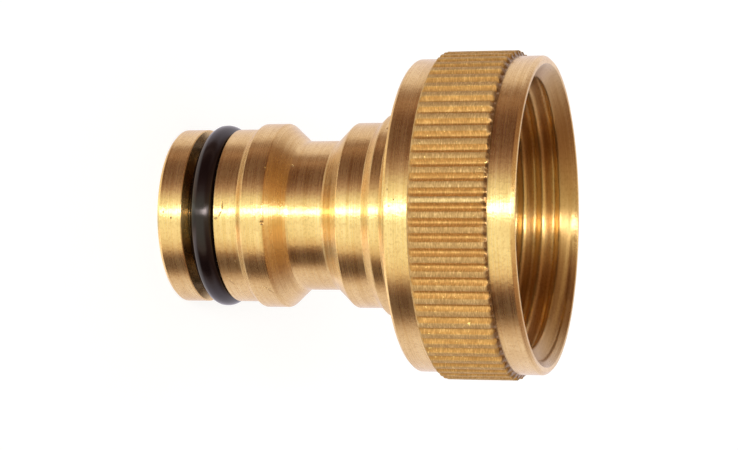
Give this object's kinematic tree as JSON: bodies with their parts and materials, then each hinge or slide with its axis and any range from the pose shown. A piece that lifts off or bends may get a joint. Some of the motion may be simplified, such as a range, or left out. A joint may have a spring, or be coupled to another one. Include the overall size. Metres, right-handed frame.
{
  "type": "garden hose tap connector",
  "caption": "Turned brass connector: a female tap thread in a knurled collar, and a grooved quick-connect spigot with a rubber ring.",
  "frame": {"origin": "centre of the spigot's flat end face, which is the bottom of the object's box; the connector stands on that face", "axes": "+Z along the axis, from the spigot's end face to the open threaded mouth; the form is round, so +X and +Y may be any two directions across it"},
  "size_m": [0.0298, 0.0298, 0.0346],
  "materials": {
    "brass": "bright turned brass with fine tool lines round the axis",
    "seal_rubber": "smooth black rubber, slightly oiled",
    "washer_rubber": "matt black rubber"
  },
  "bodies": {
    "root": {"connector_body": "brass", "o_ring": "seal_rubber", "sealing_washer": "washer_rubber"}
  },
  "joints": []
}
